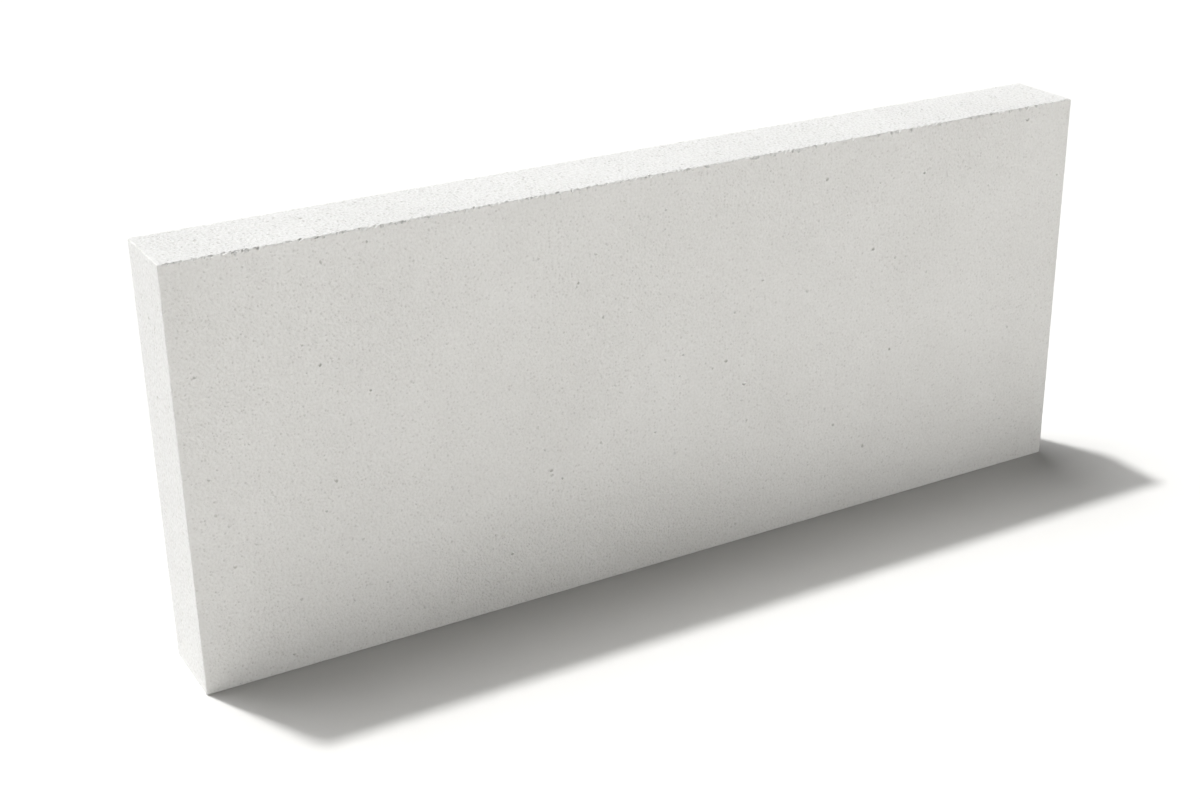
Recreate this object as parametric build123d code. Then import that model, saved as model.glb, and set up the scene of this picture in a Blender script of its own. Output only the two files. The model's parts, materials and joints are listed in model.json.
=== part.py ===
from build123d import *
import os

# Partition block of autoclaved aerated concrete, cut by wires from one foamed cake.
# It stands on its bed face, as it is laid in a wall, and it is one solid piece.
# Millimetres. +X runs along the course, +Y through the wall and +Z up.
# The origin is at the middle of the bed face that the block stands on.

# Driving dimensions of the cut block
LENGTH = 600.0
THICKNESS = 50.0
HEIGHT = 250.0

# Radius that handling wears on the brittle arrises, which the wires leave sharp
ARRIS_RADIUS = 1.2

PARTS_FOLDER = "parts"


def cut_block() -> Part:
    """Return the block as the wires leave it: the bed face drawn up to the course height."""
    with BuildPart() as cut:
        with BuildSketch(Plane.XY):
            Rectangle(LENGTH, THICKNESS)
        extrude(amount=HEIGHT)
    return cut.part


def wear_arrises(block: Part) -> Part:
    """Return the block with its twelve arrises, and so its eight corners, worn round."""
    return fillet(block.edges(), ARRIS_RADIUS)


def main() -> None:
    """Build the block and write it as its one node."""
    concrete_block = wear_arrises(cut_block())
    concrete_block.label = "concrete_block"
    os.makedirs(PARTS_FOLDER, exist_ok=True)
    export_step(concrete_block, os.path.join(PARTS_FOLDER, f"{concrete_block.label}.step"))


if __name__ == "__main__":
    main()
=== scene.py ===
"""One partition block of aerated concrete: opened pores, crumbled arrises, finishes, studio and camera.

Metres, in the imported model's frame: +X runs along the course, +Y through the wall and +Z up, with
the origin in the middle of the bed face that the block stands on.
"""

import json
import logging
import math
from dataclasses import dataclass
from enum import Enum

import bpy
from mathutils import Matrix
from mathutils import Vector


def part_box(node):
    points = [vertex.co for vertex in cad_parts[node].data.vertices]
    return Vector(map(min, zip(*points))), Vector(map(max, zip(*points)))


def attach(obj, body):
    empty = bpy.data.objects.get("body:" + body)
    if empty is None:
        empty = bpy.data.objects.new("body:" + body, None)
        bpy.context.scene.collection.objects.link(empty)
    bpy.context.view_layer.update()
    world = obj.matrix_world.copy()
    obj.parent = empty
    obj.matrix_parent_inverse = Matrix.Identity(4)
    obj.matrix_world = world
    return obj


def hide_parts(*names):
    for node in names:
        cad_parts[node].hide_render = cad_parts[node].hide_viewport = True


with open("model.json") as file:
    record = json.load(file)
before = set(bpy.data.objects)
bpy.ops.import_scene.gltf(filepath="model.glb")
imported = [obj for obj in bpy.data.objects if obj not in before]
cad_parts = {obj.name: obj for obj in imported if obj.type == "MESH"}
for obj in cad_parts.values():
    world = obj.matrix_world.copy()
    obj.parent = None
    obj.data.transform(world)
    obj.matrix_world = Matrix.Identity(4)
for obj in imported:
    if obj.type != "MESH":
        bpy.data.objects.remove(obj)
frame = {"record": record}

LOG = logging.getLogger("aerated_block")

MM = 0.001
ROOT_BODY = "root"
AXES = ((1.0, 0.0, 0.0), (0.0, 1.0, 0.0), (0.0, 0.0, 1.0))
ACROSS = (0.0, 1.0, 1.0)
ONES = (1.0, 1.0, 1.0)
NOUGHT = (0.0, 0.0, 0.0)
WHITE = (1.0, 1.0, 1.0, 1.0)

Colour = tuple[float, float, float]
Socket = bpy.types.NodeSocket
Wire = Socket | bpy.types.Material | float | int | bool | str | tuple


class Cut(Enum):
    """How a surface of the block came about."""

    FACE = "wire_drawn_face"
    BED = "sawn_bed"
    END = "sawn_end"
    PORE = "opened_pore"
    ARRIS = "crumbled_arris"


class Ground(Enum):
    """Where on the cut slab pores and crumbs are taken out."""

    FACES = "drawn faces"
    EDGES = "beds and ends"
    HEAD = "long arrises of the upper bed"
    ARRISES = "other arrises"


class Draw(Enum):
    """Which draw of a pore field's seed settles what."""

    RADIUS = 1
    RISE = 2
    TURN = 3
    SQUASH = 4


class TreeKind(Enum):
    """The node trees that the script builds."""

    SHAPE = "GeometryNodeTree"
    FINISH = "ShaderNodeTree"


class Plug(Enum):
    """What a named input or output of a node tree carries."""

    SHAPE = "NodeSocketGeometry"
    FLAG = "NodeSocketBool"
    NUMBER = "NodeSocketFloat"
    COUNT = "NodeSocketInt"
    DIRECTION = "NodeSocketVector"
    COLOUR = "NodeSocketColor"
    FINISH = "NodeSocketMaterial"

    def named(self, *labels: str) -> dict[str, "Plug"]:
        """Return several inputs or outputs of this kind, by name."""
        return dict.fromkeys(labels, self)


@dataclass
class NodeSheet:
    """A node tree in the making, with short calls that place its nodes and wire them up."""

    tree: bpy.types.NodeTree
    entry: bpy.types.Node | None = None
    exit: bpy.types.Node | None = None

    @classmethod
    def blank(
        cls,
        name: str,
        kind: TreeKind,
        takes: dict[str, Plug],
        gives: dict[str, Plug],
    ) -> "NodeSheet":
        """Start a node group with its named inputs and outputs.

        Args:
            name: What the group is called.
            kind: Whether it makes a shape or part of a finish.
            takes: The inputs by name.
            gives: The outputs by name.

        Returns:
            The sheet, which holds only the group's input and output nodes.
        """
        tree = bpy.data.node_groups.new(name, kind.value)
        for label, plug in takes.items():
            tree.interface.new_socket(label, in_out="INPUT", socket_type=plug.value)
        for label, plug in gives.items():
            tree.interface.new_socket(label, in_out="OUTPUT", socket_type=plug.value)
        return cls(tree, tree.nodes.new("NodeGroupInput"), tree.nodes.new("NodeGroupOutput"))

    def place(
        self,
        kind: str,
        wires: dict[str, Wire] | None = None,
        **settings: object,
    ) -> bpy.types.Node:
        """Place a node, set its properties and wire its inputs.

        Args:
            kind: Blender's name for the type of node.
            wires: For an input's identifier, the socket that feeds it or the constant that it holds.
            settings: Properties of the node itself, such as its operation.

        Returns:
            The placed node.
        """
        node = self.tree.nodes.new(kind)
        for label, value in settings.items():
            setattr(node, label, value)
        for identifier, value in (wires or {}).items():
            self.feed(node, identifier, value)
        return node

    def feed(self, node: bpy.types.Node, identifier: str, value: Wire) -> None:
        """Wire one input of a node, or set it to a constant.

        Args:
            node: The node that is fed.
            identifier: Which of its inputs.
            value: The socket that feeds it or the constant that it holds.
        """
        socket = next(s for s in node.inputs if s.identifier == identifier)
        if isinstance(value, Socket):
            self.tree.links.new(value, socket)
        else:
            socket.default_value = value

    @staticmethod
    def result(node: bpy.types.Node, identifier: str) -> Socket:
        """Return one of a node's outputs by its identifier."""
        return next(s for s in node.outputs if s.identifier == identifier)

    def take(self, label: str) -> Socket:
        """Return the socket of one of the group's named inputs."""
        return self.entry.outputs[label]

    def give(self, label: str, value: Socket) -> None:
        """Wire a socket to one of the group's named outputs."""
        self.tree.links.new(value, self.exit.inputs[label])

    def group(self, tree: bpy.types.NodeTree, values: dict[str, Wire]) -> bpy.types.Node:
        """Place another node group with its own values.

        Args:
            tree: The group that is placed.
            values: The socket or constant for each of its inputs, by name.

        Returns:
            The placed group node.
        """
        kind = "GeometryNodeGroup" if tree.bl_idname == TreeKind.SHAPE.value else "ShaderNodeGroup"
        node = self.place(kind, node_tree=tree)
        for label, value in values.items():
            self.feed(node, node.inputs[label].identifier, value)
        return node

    def math(self, operation: str, *values: Wire) -> Socket:
        """Return the result of a sum on up to three numbers."""
        wires = dict(zip(("Value", "Value_001", "Value_002"), values))
        return self.place("ShaderNodeMath", wires, operation=operation).outputs["Value"]

    def vector(self, operation: str, *values: Wire) -> Socket:
        """Return the vector that comes of a sum on up to three vectors."""
        wires = dict(zip(("Vector", "Vector_001", "Vector_002"), values))
        return self.place("ShaderNodeVectorMath", wires, operation=operation).outputs["Vector"]

    def measure(self, operation: str, *values: Wire) -> Socket:
        """Return the number that comes of a sum on up to two vectors, such as a distance."""
        wires = dict(zip(("Vector", "Vector_001"), values))
        return self.place("ShaderNodeVectorMath", wires, operation=operation).outputs["Value"]

    def scaled(self, vector: Wire, factor: Wire) -> Socket:
        """Return a vector times a number."""
        wires = {"Vector": vector, "Scale": factor}
        return self.place("ShaderNodeVectorMath", wires, operation="SCALE").outputs["Vector"]

    def alike(self, number: Wire) -> Socket:
        """Return a vector whose three parts are the same number."""
        return self.place("ShaderNodeCombineXYZ", {axis: number for axis in "XYZ"}).outputs["Vector"]

    def logic(self, operation: str, *values: Wire) -> Socket:
        """Return the result of a sum on one or two truth values."""
        wires = dict(zip(("Boolean", "Boolean_001"), values))
        return self.place("FunctionNodeBooleanMath", wires, operation=operation).outputs["Boolean"]

    def compare(self, first: Wire, operation: str, second: Wire) -> Socket:
        """Return whether one number is, say, greater than another."""
        wires = {"A": first, "B": second}
        return self.place("FunctionNodeCompare", wires, operation=operation).outputs["Result"]

    def ranged(
        self,
        value: Wire,
        old: tuple[Wire, Wire],
        new: tuple[Wire, Wire],
        easing: str = "LINEAR",
    ) -> Socket:
        """Carry a number from one range over to another, and hold it inside.

        Args:
            value: The number.
            old: The range that it comes from.
            new: The range that it goes to.
            easing: Blender's name for the way that it goes there.

        Returns:
            The socket of the result.
        """
        wires = {
            "Value": value,
            "From Min": old[0],
            "From Max": old[1],
            "To Min": new[0],
            "To Max": new[1],
        }
        return self.place("ShaderNodeMapRange", wires, interpolation_type=easing).outputs["Result"]

    def noise(self, position: Wire, size: Wire, detail: float, roughness: float) -> Socket:
        """Return a cloud noise between 0 and 1.

        Args:
            position: Where it is read.
            size: The breadth of its largest clouds.
            detail: How many times the clouds are broken up.
            roughness: How strongly they are broken up.

        Returns:
            The socket of the noise.
        """
        wires = {
            "Vector": position,
            "Scale": self.math("DIVIDE", 1.0, size),
            "Detail": detail,
            "Roughness": roughness,
        }
        return self.place("ShaderNodeTexNoise", wires).outputs["Fac"]

    def chance(self, low: Wire, high: Wire, seed: Wire, draw: Draw) -> Socket:
        """Return a random number for each point.

        Args:
            low: The least that it can be.
            high: The most that it can be.
            seed: The seed of the whole group.
            draw: Which draw of that seed this is.

        Returns:
            The socket of the number.
        """
        wires = {"Min_001": low, "Max_001": high, "Seed": self.math("ADD", seed, draw.value)}
        node = self.place("FunctionNodeRandomValue", wires, data_type="FLOAT")
        return self.result(node, "Value_001")

    def chance_vector(self, low: float, high: float, seed: Wire, draw: Draw) -> Socket:
        """Return a random vector for each point.

        Args:
            low: The least of each component.
            high: The most of each component.
            seed: The seed of the whole group.
            draw: Which draw of that seed this is.

        Returns:
            The socket of the vector.
        """
        wires = {"Min": (low,) * 3, "Max": (high,) * 3, "Seed": self.math("ADD", seed, draw.value)}
        node = self.place("FunctionNodeRandomValue", wires, data_type="FLOAT_VECTOR")
        return self.result(node, "Value")


@dataclass(frozen=True)
class PasteTexture:
    """The look that all cuts share: foamed paste with mottling, grain and pits too fine to model, whose
    pits and grain hollows are painted darker as shade.
    """

    name: str = "Foamed paste"
    mottle_detail: float = 4.0
    mottle_roughness: float = 0.78
    grain_detail: float = 2.5
    grain_roughness: float = 0.5
    cloud_spread: tuple[float, float] = (0.25, 0.75)
    calm_and_lively: tuple[float, float] = (0.5, 1.4)
    pit_floor_share: float = 0.3
    least_pit: float = 0.02
    foot_shade_fray: float = 0.5
    foot_shade_edge: tuple[float, float] = (1.0, 0.3)

    def group(self) -> bpy.types.NodeTree:
        """Build the node group, whose relief is in metres.

        Returns:
            The group, with its sizes as named inputs.
        """
        takes = {
            **Plug.DIRECTION.named("Position", "Foot Shade Middle", "Foot Shade Reach"),
            **Plug.COLOUR.named("Paste", "Dust And Shade"),
            **Plug.NUMBER.named("Mottle Size", "Mottle Share", "Smoothest", "Roughest"),
            **Plug.NUMBER.named("Grain Size", "Grain Depth", "Grain Share"),
            **Plug.NUMBER.named("Pit Size", "Pit Radius", "Pit Depth", "Pit Share"),
            **Plug.NUMBER.named("Foot Shade Share", "Foot Shade Grain"),
        }
        gives = {"Colour": Plug.COLOUR, "Roughness": Plug.NUMBER, "Relief": Plug.NUMBER}
        sheet = NodeSheet.blank(self.name, TreeKind.FINISH, takes, gives)
        position = sheet.take("Position")
        mottle_size = sheet.take("Mottle Size")
        mottle = sheet.noise(position, mottle_size, self.mottle_detail, self.mottle_roughness)
        grain_size = sheet.take("Grain Size")
        grain = sheet.noise(position, grain_size, self.grain_detail, self.grain_roughness)
        cells = sheet.place(
            "ShaderNodeTexVoronoi",
            {"Vector": position, "Scale": sheet.math("DIVIDE", 1.0, sheet.take("Pit Size"))},
        )
        draw = sheet.place("ShaderNodeSeparateColor", {"Color": cells.outputs["Color"]})
        widest = sheet.take("Pit Radius")
        radius = sheet.math("MULTIPLY_ADD", widest, draw.outputs["Red"], self.least_pit)
        floor_radius = sheet.math("MULTIPLY", radius, self.pit_floor_share)
        pit = sheet.ranged(cells.outputs["Distance"], (radius, floor_radius), (0.0, 1.0), "SMOOTHSTEP")
        pit = sheet.math("MULTIPLY", pit, draw.outputs["Green"])
        mottled = sheet.ranged(mottle, self.cloud_spread, (0.0, 1.0))
        hollow = sheet.ranged(grain, self.cloud_spread, (1.0, 0.0))
        shade = sheet.math("MULTIPLY", mottled, sheet.take("Mottle Share"))
        # The grain's hollows are painted darker, as dust and shade, and the pits as painted shade.
        shade = sheet.math("MULTIPLY_ADD", hollow, sheet.take("Grain Share"), shade)
        shade = sheet.math("MULTIPLY_ADD", pit, sheet.take("Pit Share"), shade)
        # Painted shade: a patch at the foot of the front is darkened, and its grain made rougher.
        foot_shade = self.foot_shade(sheet, position, mottle)
        shade = sheet.math("MULTIPLY_ADD", foot_shade, sheet.take("Foot Shade Share"), shade)
        colour = sheet.place(
            "ShaderNodeMix",
            {"Factor_Float": shade, "A_Color": sheet.take("Paste"), "B_Color": sheet.take("Dust And Shade")},
            data_type="RGBA",
        )
        sheet.give("Colour", sheet.result(colour, "Result_Color"))
        smoothest_roughest = (sheet.take("Smoothest"), sheet.take("Roughest"))
        sheet.give("Roughness", sheet.ranged(hollow, (0.0, 1.0), smoothest_roughest))
        lively = sheet.ranged(mottle, self.cloud_spread, self.calm_and_lively)
        lively = sheet.math("MULTIPLY_ADD", foot_shade, sheet.take("Foot Shade Grain"), lively)
        raised = sheet.math("MULTIPLY", grain, lively)
        raised = sheet.math("MULTIPLY", raised, sheet.take("Grain Depth"))
        sunk = sheet.math("MULTIPLY", pit, sheet.take("Pit Depth"))
        sheet.give("Relief", sheet.math("SUBTRACT", raised, sunk))
        return sheet.tree

    def foot_shade(self, sheet: NodeSheet, position: Socket, mottle: Socket) -> Socket:
        """Mask the roughened patch at the foot of the front that is painted darker as shade, with an
        edge that the mottling frays.

        Args:
            sheet: The group that this is placed in.
            position: Where it is read.
            mottle: The mottling noise.

        Returns:
            The socket of the mask, which is 1 in the middle of the patch.
        """
        away = sheet.vector("SUBTRACT", position, sheet.take("Foot Shade Middle"))
        away = sheet.measure("LENGTH", sheet.vector("DIVIDE", away, sheet.take("Foot Shade Reach")))
        frayed = sheet.ranged(mottle, self.cloud_spread, (-self.foot_shade_fray, self.foot_shade_fray))
        return sheet.ranged(sheet.math("ADD", away, frayed), self.foot_shade_edge, (0.0, 1.0), "SMOOTHSTEP")


@dataclass(frozen=True)
class FootShade:
    """A roughened patch at the foot of the front, painted darker as shade, which fades out within its
    reach.
    """

    middle: tuple[float, float, float] = (-45.0 * MM, -25.0 * MM, 10.0 * MM)
    reach: tuple[float, float, float] = (190.0 * MM, 12.0 * MM, 75.0 * MM)
    share: float = 0.0
    grain: float = 0.0


@dataclass(frozen=True)
class ConcreteFinish:
    """Dry aerated concrete as one kind of cut leaves it. Colours are linear; the dust colour is both
    dust and painted shade in pits and hollows.
    """

    cut: Cut
    paste: Colour
    dust_and_shade: Colour
    mottle_share: float
    grain_size: float
    grain_depth: float
    grain_share: float
    pit_size: float
    pit_radius: float
    pit_depth: float
    pit_share: float
    mottle_size: float = 90.0 * MM
    smoothest: float = 0.86
    roughest: float = 0.97
    specular: float = 0.2
    foot_shade: FootShade = FootShade()

    def material(self, texture: bpy.types.NodeTree) -> bpy.types.Material:
        """Build the material.

        Args:
            texture: The group that all cuts share.

        Returns:
            The material, with the group placed at this cut's values.
        """
        material = bpy.data.materials.new(self.cut.value)
        material.use_nodes = True
        material.diffuse_color = (*self.paste, 1.0)
        sheet = NodeSheet(material.node_tree)
        shader = material.node_tree.nodes["Principled BSDF"]
        place = sheet.place("ShaderNodeTexCoord")
        paste = sheet.group(
            texture,
            {
                "Position": place.outputs["Object"],
                "Paste": (*self.paste, 1.0),
                "Dust And Shade": (*self.dust_and_shade, 1.0),
                "Mottle Size": self.mottle_size,
                "Mottle Share": self.mottle_share,
                "Grain Size": self.grain_size,
                "Grain Depth": self.grain_depth,
                "Grain Share": self.grain_share,
                "Pit Size": self.pit_size,
                "Pit Radius": self.pit_radius,
                "Pit Depth": self.pit_depth,
                "Pit Share": self.pit_share,
                "Smoothest": self.smoothest,
                "Roughest": self.roughest,
                "Foot Shade Middle": self.foot_shade.middle,
                "Foot Shade Reach": self.foot_shade.reach,
                "Foot Shade Share": self.foot_shade.share,
                "Foot Shade Grain": self.foot_shade.grain,
            },
        ).outputs
        relief = {"Strength": 1.0, "Distance": 1.0, "Height": paste["Relief"]}
        bump = sheet.place("ShaderNodeBump", relief)
        sheet.feed(shader, "Base Color", paste["Colour"])
        sheet.feed(shader, "Roughness", paste["Roughness"])
        sheet.feed(shader, "Normal", bump.outputs["Normal"])
        sheet.feed(shader, "Specular IOR Level", self.specular)
        return material


@dataclass(frozen=True)
class PoreField:
    """One size of the pores that a cut lays open, as balls taken out of its surface.

    A ball's middle stands off the surface by its rise, a share of its radius, so that a high rise
    leaves a shallow dish. The spacing keeps the balls of one field apart.
    """

    ground: Ground
    density: float
    spacing: float
    radii: tuple[float, float]
    rises: tuple[float, float]
    skew: float
    detail: int
    seed: int
    patch_size: float = 85.0 * MM
    sparsest: float = 0.35

    def values(self) -> dict[str, Wire]:
        """List the values of the pore group's inputs.

        Returns:
            The values by name.
        """
        return {
            "Density": self.density,
            "Spacing": self.spacing,
            "Smallest Radius": self.radii[0],
            "Largest Radius": self.radii[1],
            "Lowest Rise": self.rises[0],
            "Highest Rise": self.rises[1],
            "Skew": self.skew,
            "Detail": self.detail,
            "Seed": self.seed,
            "Patch Size": self.patch_size,
            "Sparsest": self.sparsest,
        }


@dataclass(frozen=True)
class ArrisWear:
    """How far the brittle arrises have crumbled, as depths along the diagonal from the sharp edge."""

    step: float = 0.65 * MM
    bar_radius: float = 5.0 * MM
    bar_sides: int = 48
    wear: float = 0.6 * MM
    wear_size: float = 28.0 * MM
    chips: float = 4.5 * MM
    chip_size: float = 2.8 * MM
    roughness: float = 4.6 * MM
    roughness_size: float = 1.4 * MM
    corner_wear: float = 0.4 * MM
    corner_reach: float = 7.0 * MM
    foot_share: float = 0.3
    head_shares: tuple[float, float, float] = (1.0, 0.5, 0.4)

    def values(self, direction: int) -> dict[str, Wire]:
        """List the values of the arris group's inputs for the arrises of one direction.

        Args:
            direction: The axis that the arrises run along, from 0 for X to 2 for Z.

        Returns:
            The values by name.
        """
        return {
            "Along": AXES[direction],
            "Foot Share": self.foot_share,
            "Head Share": self.head_shares[direction],
            "Step": self.step,
            "Bar Radius": self.bar_radius,
            "Bar Sides": self.bar_sides,
            "Wear": self.wear,
            "Wear Size": self.wear_size,
            "Chips": self.chips,
            "Chip Size": self.chip_size,
            "Roughness": self.roughness,
            "Roughness Size": self.roughness_size,
            "Corner Wear": self.corner_wear,
            "Corner Reach": self.corner_reach,
        }


FINISHES = (
    ConcreteFinish(
        cut=Cut.FACE,
        paste=(0.82, 0.812, 0.789),
        dust_and_shade=(0.56, 0.545, 0.514),
        mottle_share=0.2,
        grain_size=1.65 * MM,
        grain_depth=0.4 * MM,
        grain_share=0.3,
        pit_size=2.0 * MM,
        pit_radius=0.5,
        pit_depth=0.25 * MM,
        pit_share=0.5,
        # The foot of the front is painted darker as shade, and roughened.
        foot_shade=FootShade(share=0.12, grain=1.3),
    ),
    ConcreteFinish(
        cut=Cut.BED,
        paste=(0.85, 0.849, 0.84),
        dust_and_shade=(0.58, 0.575, 0.555),
        mottle_share=0.06,
        grain_size=1.7 * MM,
        grain_depth=1.15 * MM,
        grain_share=0.6,
        pit_size=2.0 * MM,
        pit_radius=0.55,
        pit_depth=0.35 * MM,
        pit_share=0.85,
    ),
    ConcreteFinish(
        cut=Cut.END,
        paste=(0.84, 0.839, 0.831),
        dust_and_shade=(0.58, 0.575, 0.555),
        mottle_share=0.06,
        grain_size=1.9 * MM,
        grain_depth=0.8 * MM,
        grain_share=0.45,
        pit_size=2.2 * MM,
        pit_radius=0.55,
        pit_depth=0.25 * MM,
        pit_share=0.6,
    ),
    ConcreteFinish(
        cut=Cut.PORE,
        # The pore walls' paste is darker than the faces': painted shade in the pores.
        paste=(0.76, 0.752, 0.728),
        dust_and_shade=(0.58, 0.565, 0.53),
        mottle_share=0.05,
        grain_size=1.2 * MM,
        grain_depth=0.2 * MM,
        grain_share=0.3,
        pit_size=1.1 * MM,
        pit_radius=0.4,
        pit_depth=0.1 * MM,
        pit_share=0.3,
    ),
    ConcreteFinish(
        cut=Cut.ARRIS,
        paste=(0.81, 0.806, 0.788),
        dust_and_shade=(0.58, 0.575, 0.555),
        mottle_share=0.04,
        grain_size=1.2 * MM,
        grain_depth=0.7 * MM,
        grain_share=0.45,
        pit_size=1.3 * MM,
        pit_radius=0.4,
        pit_depth=0.15 * MM,
        pit_share=0.6,
    ),
)

PORES = (
    PoreField(
        ground=Ground.FACES,
        density=450.0,
        spacing=8.0 * MM,
        radii=(0.7 * MM, 1.4 * MM),
        rises=(0.0, 0.5),
        skew=1.6,
        detail=2,
        seed=11,
    ),
    PoreField(
        ground=Ground.FACES,
        density=3600.0,
        spacing=4.2 * MM,
        radii=(0.8 * MM, 1.65 * MM),
        rises=(0.66, 0.94),
        skew=1.8,
        detail=2,
        seed=23,
    ),
    PoreField(
        ground=Ground.FACES,
        density=3000.0,
        spacing=2.2 * MM,
        radii=(0.4 * MM, 0.75 * MM),
        rises=(0.6, 0.92),
        skew=1.0,
        detail=1,
        seed=37,
    ),
    PoreField(
        ground=Ground.EDGES,
        density=12000.0,
        spacing=3.4 * MM,
        radii=(0.7 * MM, 1.3 * MM),
        rises=(0.55, 0.92),
        skew=1.8,
        detail=2,
        seed=53,
    ),
    PoreField(
        ground=Ground.EDGES,
        density=16000.0,
        spacing=2.1 * MM,
        radii=(0.4 * MM, 0.75 * MM),
        rises=(0.4, 0.9),
        skew=1.0,
        detail=1,
        seed=71,
    ),
    PoreField(
        ground=Ground.HEAD,
        density=110000.0,
        spacing=2.9 * MM,
        radii=(0.4 * MM, 0.9 * MM),
        rises=(0.25, 0.7),
        skew=1.5,
        detail=2,
        seed=89,
        patch_size=24.0 * MM,
        sparsest=0.45,
    ),
    PoreField(
        ground=Ground.HEAD,
        density=400000.0,
        spacing=1.6 * MM,
        radii=(0.3 * MM, 0.62 * MM),
        rises=(0.0, 0.55),
        skew=1.2,
        detail=1,
        seed=97,
        patch_size=24.0 * MM,
        sparsest=0.6,
    ),
    PoreField(
        ground=Ground.ARRISES,
        density=60000.0,
        spacing=2.4 * MM,
        radii=(0.35 * MM, 0.8 * MM),
        rises=(0.1, 0.6),
        skew=1.5,
        detail=1,
        seed=101,
        patch_size=24.0 * MM,
        sparsest=0.25,
    ),
)


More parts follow.
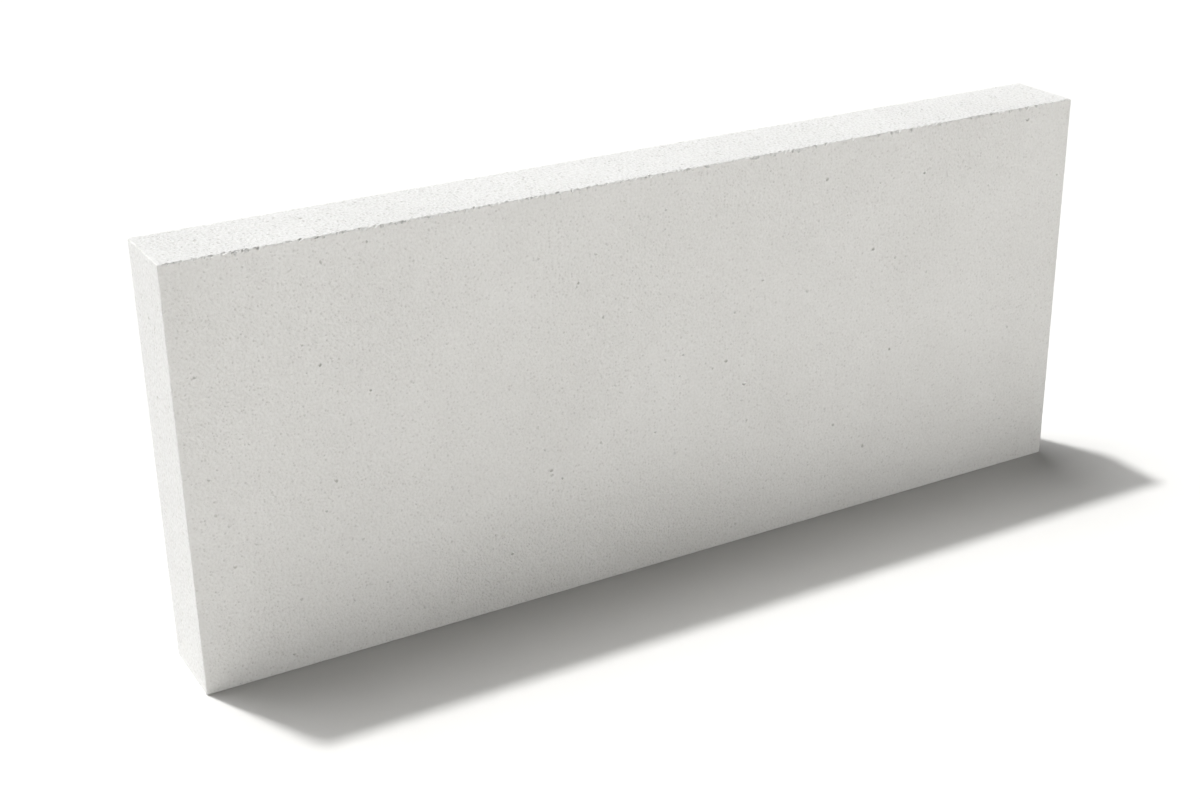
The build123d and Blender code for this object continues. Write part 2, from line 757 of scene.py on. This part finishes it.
@dataclass
class AeratedBlock:
    """The block: a cut slab with rounded arrises, less its opened pores and its lost crumbs."""

    node: str
    slot: str
    body: str
    name: str = "aerated_block"
    arris_radius: float = 0.6 * MM
    strip: float = 1.3 * MM
    cell: float = 12.0 * MM
    arris_lines: int = 2
    side_tolerance: float = 1e-4
    drawn_limit: float = math.cos(math.pi / 8.0)
    flat_limit: float = math.cos(math.radians(3.0))
    crisp_angle: float = math.radians(45.0)
    mark: str = "opened"
    largest_crumb: float = 1000.0
    patch_detail: float = 2.0
    patch_spread: tuple[float, float] = (0.36, 0.62)
    squash: tuple[float, float] = (0.7, 1.25)
    wear_detail: float = 1.0
    chip_threshold: float = 0.49
    roughness_detail: float = 2.0
    noise_roughness: float = 0.55
    pores: tuple[PoreField, ...] = PORES
    arrises: ArrisWear = ArrisWear()
    finishes: tuple[ConcreteFinish, ...] = FINISHES

    def pore_tree(self) -> bpy.types.NodeTree:
        """Build the group that scatters balls over a surface, crowded in patches.

        Returns:
            The group, which gives the balls as one mesh.
        """
        takes = {
            **Plug.SHAPE.named("Surface"),
            **Plug.FLAG.named("Where"),
            **Plug.NUMBER.named("Density", "Spacing", "Smallest Radius", "Largest Radius"),
            **Plug.NUMBER.named("Lowest Rise", "Highest Rise", "Skew", "Patch Size", "Sparsest"),
            **Plug.COUNT.named("Detail", "Seed"),
        }
        sheet = NodeSheet.blank("Opened pores", TreeKind.SHAPE, takes, {"Balls": Plug.SHAPE})
        seed = sheet.take("Seed")
        position = sheet.place("GeometryNodeInputPosition").outputs["Position"]
        patch_size = sheet.take("Patch Size")
        patches = sheet.noise(position, patch_size, self.patch_detail, self.noise_roughness)
        crowding = sheet.ranged(patches, self.patch_spread, (sheet.take("Sparsest"), 1.0))
        points = sheet.place(
            "GeometryNodeDistributePointsOnFaces",
            {
                "Mesh": sheet.take("Surface"),
                "Selection": sheet.take("Where"),
                "Distance Min": sheet.take("Spacing"),
                "Density Max": sheet.take("Density"),
                "Density Factor": crowding,
                "Seed": seed,
            },
            distribute_method="POISSON",
        )
        growth = sheet.math("POWER", sheet.chance(0.0, 1.0, seed, Draw.RADIUS), sheet.take("Skew"))
        radii = (sheet.take("Smallest Radius"), sheet.take("Largest Radius"))
        radius = sheet.ranged(growth, (0.0, 1.0), radii)
        rises = (sheet.take("Lowest Rise"), sheet.take("Highest Rise"))
        rise = sheet.chance(*rises, seed, Draw.RISE)
        offset = sheet.scaled(points.outputs["Normal"], sheet.math("MULTIPLY", radius, rise))
        raised = sheet.place(
            "GeometryNodeSetPosition",
            {"Geometry": points.outputs["Points"], "Offset": offset},
        )
        turn = sheet.chance_vector(0.0, math.tau, seed, Draw.TURN)
        turn = sheet.place("FunctionNodeEulerToRotation", {"Euler": turn}).outputs["Rotation"]
        squash = sheet.chance_vector(*self.squash, seed, Draw.SQUASH)
        ball = sheet.place(
            "GeometryNodeMeshIcoSphere",
            {"Radius": 1.0, "Subdivisions": sheet.take("Detail")},
        )
        balls = sheet.place(
            "GeometryNodeInstanceOnPoints",
            {
                "Points": raised.outputs["Geometry"],
                "Instance": ball.outputs["Mesh"],
                "Rotation": turn,
                "Scale": sheet.scaled(squash, radius),
            },
        )
        whole = sheet.place("GeometryNodeRealizeInstances", {"Geometry": balls.outputs["Instances"]})
        sheet.give("Balls", whole.outputs["Geometry"])
        return sheet.tree

    def arris_tree(self) -> bpy.types.NodeTree:
        """Build the group that lays a rough bar along the four arrises of one direction.

        Each bar's surface just meets the sharp edge and bulges into the block where it crumbled.

        Returns:
            The group, which gives the bars as one mesh.
        """
        takes = {
            **Plug.DIRECTION.named("Size", "Along"),
            **Plug.NUMBER.named("Step", "Bar Radius", "Wear", "Wear Size", "Chips", "Chip Size"),
            **Plug.NUMBER.named("Roughness", "Roughness Size", "Corner Wear", "Corner Reach"),
            **Plug.NUMBER.named("Foot Share", "Head Share"),
            **Plug.COUNT.named("Bar Sides"),
        }
        sheet = NodeSheet.blank("Crumbled arrises", TreeKind.SHAPE, takes, {"Bars": Plug.SHAPE})
        half_size = sheet.scaled(sheet.take("Size"), 0.5)
        box = sheet.place("GeometryNodeMeshCube", {"Size": sheet.take("Size")})
        ends = sheet.place("GeometryNodeInputMeshEdgeVertices").outputs
        run = sheet.vector("ABSOLUTE", sheet.vector("SUBTRACT", ends["Position 1"], ends["Position 2"]))
        share = sheet.measure("DOT_PRODUCT", run, sheet.take("Along"))
        edges = sheet.place(
            "GeometryNodeMeshToCurve",
            {"Mesh": box.outputs["Mesh"], "Selection": sheet.compare(share, "GREATER_THAN", 0.0)},
        )
        lines = sheet.place(
            "GeometryNodeResampleCurve",
            {"Curve": edges.outputs["Curve"], "Length": sheet.take("Step")},
            mode="LENGTH",
        )
        place = sheet.place("GeometryNodeInputPosition").outputs["Position"]
        side = sheet.vector("SIGN", place)
        reach = sheet.vector("DIVIDE", sheet.vector("ABSOLUTE", place), half_size)
        at_side = sheet.vector("FLOOR", sheet.vector("ADD", reach, (self.side_tolerance,) * 3))
        outward = sheet.vector("NORMALIZE", sheet.vector("MULTIPLY", at_side, side))
        to_middle = sheet.scaled(outward, sheet.take("Bar Radius"))
        outer_lines = sheet.place(
            "GeometryNodeSetPosition",
            {"Geometry": lines.outputs["Curve"], "Offset": to_middle},
        )
        section = sheet.place(
            "GeometryNodeCurvePrimitiveCircle",
            {"Radius": sheet.take("Bar Radius"), "Resolution": sheet.take("Bar Sides")},
        )
        bars = sheet.place(
            "GeometryNodeCurveToMesh",
            {
                "Curve": outer_lines.outputs["Geometry"],
                "Profile Curve": section.outputs["Curve"],
                "Fill Caps": True,
            },
        )
        worn = sheet.noise(place, sheet.take("Wear Size"), self.wear_detail, self.noise_roughness)
        chip = sheet.noise(place, sheet.take("Chip Size"), self.wear_detail, self.noise_roughness)
        chip = sheet.math("MAXIMUM", sheet.math("SUBTRACT", chip, self.chip_threshold), 0.0)
        grit_size = sheet.take("Roughness Size")
        grit = sheet.noise(place, grit_size, self.roughness_detail, self.noise_roughness)
        grit = sheet.math("SUBTRACT", grit, 0.5)
        to_corner = sheet.measure("DISTANCE", place, sheet.vector("MULTIPLY", side, half_size))
        corner_reach = (0.0, sheet.take("Corner Reach"))
        depth = sheet.ranged(to_corner, corner_reach, (sheet.take("Corner Wear"), 0.0))
        depth = sheet.math("MULTIPLY_ADD", worn, sheet.take("Wear"), depth)
        depth = sheet.math("MULTIPLY_ADD", chip, sheet.take("Chips"), depth)
        depth = sheet.math("MULTIPLY_ADD", grit, sheet.take("Roughness"), depth)
        head = sheet.measure("DOT_PRODUCT", half_size, AXES[2])
        height = sheet.measure("DOT_PRODUCT", place, AXES[2])
        shares = (sheet.take("Foot Share"), sheet.take("Head Share"))
        foot = sheet.math("MULTIPLY", head, -1.0)
        depth = sheet.math("MULTIPLY", depth, sheet.ranged(height, (foot, head), shares))
        normal = sheet.place("GeometryNodeInputNormal").outputs["Normal"]
        rough = sheet.place(
            "GeometryNodeSetPosition",
            {"Geometry": bars.outputs["Mesh"], "Offset": sheet.scaled(normal, depth)},
        )
        sheet.give("Bars", rough.outputs["Geometry"])
        return sheet.tree

    def slab_tree(self) -> bpy.types.NodeTree:
        """Build the group that cuts the slab: a gridded box whose arrises are rounded.

        A box of unit cells is stretched to size, with its outermost cells as narrow strips. The lines
        outside those stand for equal turns of the arris round, and each is moved out from the nearest
        point of the inner box.

        Returns:
            The group, which gives the slab centred on the origin.
        """
        takes = {
            **Plug.DIRECTION.named("Size"),
            **Plug.NUMBER.named("Arris Radius", "Strip", "Cell"),
        }
        sheet = NodeSheet.blank("Rounded slab", TreeKind.SHAPE, takes, {"Slab": Plug.SHAPE})
        radius = sheet.take("Arris Radius")
        cells = sheet.vector("CEIL", sheet.vector("DIVIDE", sheet.take("Size"), sheet.take("Cell")))
        lines = sheet.vector("ADD", cells, (2.0 * self.arris_lines,) * 3)
        counts = sheet.place("ShaderNodeSeparateXYZ", {"Vector": sheet.vector("ADD", lines, ONES)})
        box = sheet.place(
            "GeometryNodeMeshCube",
            {"Size": lines, **{f"Vertices {axis}": counts.outputs[axis] for axis in "XYZ"}},
        )
        place = sheet.place("GeometryNodeInputPosition").outputs["Position"]
        side = sheet.vector("SIGN", place)
        reach = sheet.vector("ABSOLUTE", place)
        half_cells = sheet.scaled(cells, 0.5)
        inner = sheet.vector("MINIMUM", reach, half_cells)
        turn = sheet.scaled(sheet.vector("SUBTRACT", reach, inner), math.pi / 4.0 / self.arris_lines)
        outward = sheet.vector("MULTIPLY", side, sheet.vector("TANGENT", turn))
        outward = sheet.vector("NORMALIZE", outward)
        half_size = sheet.vector("SUBTRACT", sheet.scaled(sheet.take("Size"), 0.5), sheet.alike(radius))
        strip = sheet.alike(sheet.take("Strip"))
        wide_cells = sheet.vector("SUBTRACT", half_cells, ONES)
        wide = sheet.vector("DIVIDE", sheet.vector("SUBTRACT", half_size, strip), wide_cells)
        in_strip = sheet.vector("MAXIMUM", sheet.vector("SUBTRACT", inner, wide_cells), NOUGHT)
        inner_place = sheet.vector("MULTIPLY", sheet.vector("MINIMUM", inner, wide_cells), wide)
        inner_place = sheet.vector("MULTIPLY_ADD", in_strip, strip, inner_place)
        inner_place = sheet.vector("MULTIPLY", inner_place, side)
        rounded = sheet.vector("ADD", inner_place, sheet.scaled(outward, radius))
        slab = sheet.place(
            "GeometryNodeSetPosition",
            {"Geometry": box.outputs["Mesh"], "Position": rounded},
        )
        sheet.give("Slab", slab.outputs["Geometry"])
        return sheet.tree

    def block_tree(self) -> bpy.types.NodeTree:
        """Build the main tree: the slab, less its pores and crumbs, with a finish on each cut.

        Returns:
            The tree, with the block's sizes and finishes as named inputs.
        """
        takes = {
            **Plug.DIRECTION.named("Size", "Middle"),
            **Plug.NUMBER.named("Arris Radius", "Strip", "Cell"),
            **Plug.FINISH.named(*(cut.value for cut in Cut)),
        }
        sheet = NodeSheet.blank("Aerated block", TreeKind.SHAPE, takes, {"Block": Plug.SHAPE})
        sizes = {label: sheet.take(label) for label in ("Size", "Arris Radius", "Strip", "Cell")}
        slab = sheet.group(self.slab_tree(), sizes).outputs["Slab"]
        cut = sheet.place(
            "GeometryNodeMeshBoolean",
            {"Mesh 1": slab},
            operation="DIFFERENCE",
            solver="MANIFOLD",
        )
        arris_tree = self.arris_tree()
        for direction in range(len(AXES)):
            group = sheet.group(arris_tree, {"Size": sizes["Size"], **self.arrises.values(direction)})
            sheet.feed(cut, "Mesh 2", group.outputs["Bars"])
        drawn = self.drawn(sheet)
        grounds = self.grounds(sheet, sizes["Size"], drawn)
        pore_tree = self.pore_tree()
        for pores in self.pores:
            ground = {"Surface": slab, "Where": grounds[pores.ground]}
            group = sheet.group(pore_tree, {**ground, **pores.values()})
            is_pore = pores.ground in (Ground.FACES, Ground.EDGES)
            marked = sheet.place(
                "GeometryNodeStoreNamedAttribute",
                {"Geometry": group.outputs["Balls"], "Name": self.mark, "Value": is_pore},
                data_type="BOOLEAN",
                domain="FACE",
            )
            sheet.feed(cut, "Mesh 2", marked.outputs["Geometry"])
        whole = self.without_crumbs(sheet, cut.outputs["Mesh"])
        facets = sheet.place("GeometryNodeTriangulate", {"Mesh": whole})
        moved = sheet.place(
            "GeometryNodeTransform",
            {"Geometry": facets.outputs["Mesh"], "Translation": sheet.take("Middle")},
        )
        sheet.give("Block", self.finished(sheet, moved.outputs["Geometry"], drawn))
        return sheet.tree

    def drawn(self, sheet: NodeSheet) -> Socket:
        """Tell the two large faces, which the wires were drawn over, from the beds and ends.

        Args:
            sheet: The tree that this is placed in.

        Returns:
            The socket that holds for a face of the mesh that turns to the front or the back.
        """
        normal = sheet.place("GeometryNodeInputNormal").outputs["Normal"]
        across = sheet.measure("DOT_PRODUCT", sheet.vector("ABSOLUTE", normal), AXES[1])
        return sheet.compare(across, "GREATER_THAN", self.drawn_limit)

    def grounds(self, sheet: NodeSheet, size: Socket, drawn: Socket) -> dict[Ground, Socket]:
        """Tell apart the parts of the slab that pores and crumbs are taken out of.

        Args:
            sheet: The tree that this is placed in.
            size: The block's size.
            drawn: Which faces the wires were drawn over.

        Returns:
            For each ground, the socket that holds for a face of the slab on it.
        """
        place = sheet.place("GeometryNodeInputPosition").outputs["Position"]
        inner = sheet.vector("SUBTRACT", sheet.scaled(size, 0.5), (self.arris_radius + self.strip,) * 3)
        beyond = sheet.vector("SIGN", sheet.vector("SUBTRACT", sheet.vector("ABSOLUTE", place), inner))
        brink = sheet.compare(sheet.measure("DOT_PRODUCT", beyond, ONES), "GREATER_THAN", 0.0)
        along = sheet.compare(sheet.measure("DOT_PRODUCT", beyond, ACROSS), "GREATER_THAN", 1.0)
        upper = sheet.compare(sheet.measure("DOT_PRODUCT", place, AXES[2]), "GREATER_THAN", 0.0)
        head = sheet.logic("AND", along, upper)
        return {
            Ground.FACES: drawn,
            Ground.EDGES: sheet.logic("NOT", drawn),
            Ground.HEAD: head,
            Ground.ARRISES: sheet.logic("NIMPLY", brink, head),
        }

    def without_crumbs(self, sheet: NodeSheet, shape: Socket) -> Socket:
        """Take away the loose crumbs that the cuts leave hanging.

        Args:
            sheet: The tree that this is placed in.
            shape: The cut shape.

        Returns:
            The socket of the shape with only its one large piece.
        """
        island = sheet.place("GeometryNodeInputMeshIsland").outputs["Island Index"]
        points = sheet.place(
            "GeometryNodeAccumulateField",
            {"Value": 1.0, "Group Index": island},
            data_type="FLOAT",
            domain="POINT",
        )
        loose = sheet.compare(points.outputs["Total"], "LESS_THAN", self.largest_crumb)
        kept = sheet.place(
            "GeometryNodeDeleteGeometry",
            {"Geometry": shape, "Selection": loose},
            domain="POINT",
        )
        return kept.outputs["Geometry"]

    def finished(self, sheet: NodeSheet, shape: Socket, drawn: Socket) -> Socket:
        """Smooth the broken surfaces and set the finish of each cut.

        Args:
            sheet: The tree that this is placed in.
            shape: The cut shape.
            drawn: Which faces the wires were drawn over.

        Returns:
            The socket of the finished shape.
        """
        normal = sheet.place("GeometryNodeInputNormal").outputs["Normal"]
        facing = sheet.vector("ABSOLUTE", normal)
        parts = sheet.place("ShaderNodeSeparateXYZ", {"Vector": facing}).outputs
        squarest = sheet.math("MAXIMUM", sheet.math("MAXIMUM", parts["X"], parts["Y"]), parts["Z"])
        curved = sheet.compare(squarest, "LESS_THAN", self.flat_limit)
        opened = sheet.place("GeometryNodeInputNamedAttribute", {"Name": self.mark}, data_type="BOOLEAN")
        smooth = sheet.place("GeometryNodeSetShadeSmooth", {"Geometry": shape, "Shade Smooth": curved})
        turn = sheet.place("GeometryNodeInputMeshEdgeAngle").outputs["Unsigned Angle"]
        crisp = sheet.place(
            "GeometryNodeSetShadeSmooth",
            {
                "Geometry": smooth.outputs["Geometry"],
                "Selection": sheet.compare(turn, "GREATER_THAN", self.crisp_angle),
                "Shade Smooth": False,
            },
            domain="EDGE",
        )
        bare = sheet.place("GeometryNodeRealizeInstances", {"Geometry": crisp.outputs["Geometry"]})
        lengthways = sheet.compare(parts["X"], "GREATER_THAN", self.drawn_limit)
        shape = self.dressed(sheet, bare.outputs["Geometry"], Cut.BED)
        shape = self.dressed(sheet, shape, Cut.END, lengthways)
        shape = self.dressed(sheet, shape, Cut.FACE, drawn)
        shape = self.dressed(sheet, shape, Cut.ARRIS, curved)
        shape = self.dressed(sheet, shape, Cut.PORE, opened.outputs["Attribute"])
        plain = sheet.place("GeometryNodeRemoveAttribute", {"Geometry": shape, "Name": self.mark})
        return plain.outputs["Geometry"]

    @staticmethod
    def dressed(sheet: NodeSheet, shape: Socket, cut: Cut, where: Wire = True) -> Socket:
        """Set the finish of one cut on a shape.

        Args:
            sheet: The tree that this is placed in.
            shape: The shape.
            cut: Which cut's finish.
            where: Which faces get it.

        Returns:
            The socket of the dressed shape.
        """
        wires = {"Geometry": shape, "Selection": where, "Material": sheet.take(cut.value)}
        return sheet.place("GeometryNodeSetMaterial", wires).outputs["Geometry"]

    def build(self) -> bpy.types.Object:
        """Make the block as one plain mesh and put it in the node's place.

        Returns:
            The block's object.
        """
        low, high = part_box(self.node)
        texture = PasteTexture().group()
        tree = self.block_tree()
        values = {
            "Size": high - low,
            "Middle": (low + high) / 2.0,
            "Arris Radius": self.arris_radius,
            "Strip": self.strip,
            "Cell": self.cell,
            **{finish.cut.value: finish.material(texture) for finish in self.finishes},
        }
        block = bpy.data.objects.new(self.name, bpy.data.meshes.new(self.name))
        bpy.context.scene.collection.objects.link(block)
        modifier = block.modifiers.new("Cut", "NODES")
        modifier.node_group = tree
        for socket in tree.interface.items_tree:
            if socket.in_out == "INPUT":
                modifier[socket.identifier] = values[socket.name]
        evaluated = block.evaluated_get(bpy.context.evaluated_depsgraph_get())
        block.data = bpy.data.meshes.new_from_object(evaluated)
        block.modifiers.clear()
        block.data.materials.pop(index=0)
        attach(block, self.body)
        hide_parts(self.node)
        return block


class LampKind(Enum):
    """What throws the light."""

    DISTANT = "SUN"
    SOFTBOX = "AREA"


@dataclass(frozen=True)
class Lamp:
    """One lamp, aimed at the middle of the block's foot.

    Its level is what it gives a surface that faces it there, where 1 shows a colour as it is written.
    """

    name: str
    kind: LampKind
    place: tuple[float, float, float]
    level: float
    breadth: float

    def build(self) -> bpy.types.Object:
        """Hang the lamp.

        Returns:
            The lamp's object.
        """
        lamp = bpy.data.lights.new(self.name, self.kind.value)
        place = Vector(self.place)
        if self.kind is LampKind.DISTANT:
            lamp.angle = self.breadth
            lamp.energy = self.level * math.pi
        else:
            lamp.size = self.breadth
            lamp.energy = self.level * math.pi**2 * place.length_squared
        holder = bpy.data.objects.new(self.name, lamp)
        holder.location = place
        holder.rotation_euler = place.to_track_quat("Z", "Y").to_euler()
        bpy.context.scene.collection.objects.link(holder)
        return holder


@dataclass(frozen=True)
class Studio:
    """A white floor under lamps high behind the block, with low, far fills for its end and front."""

    floor_breadth: float = 40.0
    floor_colour: Colour = (0.86, 0.855, 0.839)
    floor_roughness: float = 0.95
    floor_specular: float = 0.0
    sky_strength: float = 0.005
    lamps: tuple[Lamp, ...] = (
        Lamp("key", LampKind.DISTANT, (-0.14, 0.3, 0.948), 0.685, math.radians(3.2)),
        Lamp("soft_key", LampKind.DISTANT, (-0.14, 0.255, 0.957), 0.34, math.radians(25.0)),
        Lamp("overhead", LampKind.DISTANT, (-0.2, 0.52, 0.83), 0.28, math.radians(60.0)),
        Lamp("end_fill", LampKind.SOFTBOX, (-9.0, -3.5, 0.3), 0.37, 0.6),
        Lamp("front_fill", LampKind.SOFTBOX, (4.2, -4.8, 0.22), 0.265, 0.44),
    )

    def floor(self) -> bpy.types.Object:
        """Lay the floor.

        Returns:
            The floor's object, marked as stage.
        """
        half = self.floor_breadth / 2.0
        corners = [(-half, -half, 0.0), (half, -half, 0.0), (half, half, 0.0), (-half, half, 0.0)]
        mesh = bpy.data.meshes.new("floor")
        mesh.from_pydata(corners, [], [(0, 1, 2, 3)])
        material = bpy.data.materials.new("white_floor")
        material.use_nodes = True
        shader = material.node_tree.nodes["Principled BSDF"]
        shader.inputs["Base Color"].default_value = (*self.floor_colour, 1.0)
        shader.inputs["Roughness"].default_value = self.floor_roughness
        shader.inputs["Specular IOR Level"].default_value = self.floor_specular
        mesh.materials.append(material)
        floor = bpy.data.objects.new("floor", mesh)
        bpy.context.scene.collection.objects.link(floor)
        return floor

    def sky(self) -> None:
        """Set a white background that lights the block at a lower level than it shows."""
        world = bpy.data.worlds.new("sky")
        world.use_nodes = True
        bpy.context.scene.world = world
        sheet = NodeSheet(world.node_tree)
        lighting = world.node_tree.nodes["Background"]
        lighting.inputs["Color"].default_value = WHITE
        lighting.inputs["Strength"].default_value = self.sky_strength
        shown = sheet.place("ShaderNodeBackground", {"Color": WHITE, "Strength": 1.0})
        path = sheet.place("ShaderNodeLightPath").outputs
        seen = sheet.math("MAXIMUM", path["Is Camera Ray"], path["Is Glossy Ray"])
        seen = sheet.math("MAXIMUM", seen, path["Is Transmission Ray"])
        both = sheet.place(
            "ShaderNodeMixShader",
            {
                "Fac": seen,
                "Shader": lighting.outputs["Background"],
                "Shader_001": shown.outputs["Background"],
            },
        )
        sheet.feed(world.node_tree.nodes["World Output"], "Surface", both.outputs["Shader"])

    def build(self) -> None:
        """Set up the floor, the sky and the lamps."""
        self.floor()
        self.sky()
        for lamp in self.lamps:
            lamp.build()
        bpy.context.scene.view_settings.view_transform = "Standard"


@dataclass(frozen=True)
class PhotoCamera:
    """The camera, worked out from the seven corners of the block that the photograph shows."""

    place: tuple[float, float, float] = (-0.5325, -0.8849, 0.5534)
    heading: float = math.radians(-29.318)
    dip: float = math.radians(23.736)
    roll: float = math.radians(-0.88)
    lens: float = 55.347
    sensor_width: float = 36.0

    def build(self) -> bpy.types.Object:
        """Put the camera in place and make it the scene's.

        Returns:
            The camera's object.
        """
        camera = bpy.data.cameras.new("photo_camera")
        camera.lens = self.lens
        camera.sensor_width = self.sensor_width
        holder = bpy.data.objects.new(camera.name, camera)
        turn = Matrix.Rotation(self.heading, 4, "Z")
        turn = turn @ Matrix.Rotation(math.pi / 2.0 - self.dip, 4, "X")
        turn = turn @ Matrix.Rotation(self.roll, 4, "Z")
        holder.matrix_world = Matrix.Translation(self.place) @ turn
        bpy.context.scene.collection.objects.link(holder)
        bpy.context.scene.camera = holder
        return holder


def main() -> None:
    """Build the block, the studio and the camera, and report the pieces."""
    logging.basicConfig(level=logging.INFO, format="%(name)s: %(message)s")
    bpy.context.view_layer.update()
    subpart = frame["record"]["subparts"][0]
    block = AeratedBlock(subpart["node"], subpart["material_slot"], ROOT_BODY).build()
    LOG.info("%s has %d triangles", block.name, sum(len(p.vertices) - 2 for p in block.data.polygons))
    Studio().build()
    PhotoCamera().build()


if __name__ == "__main__":
    main()
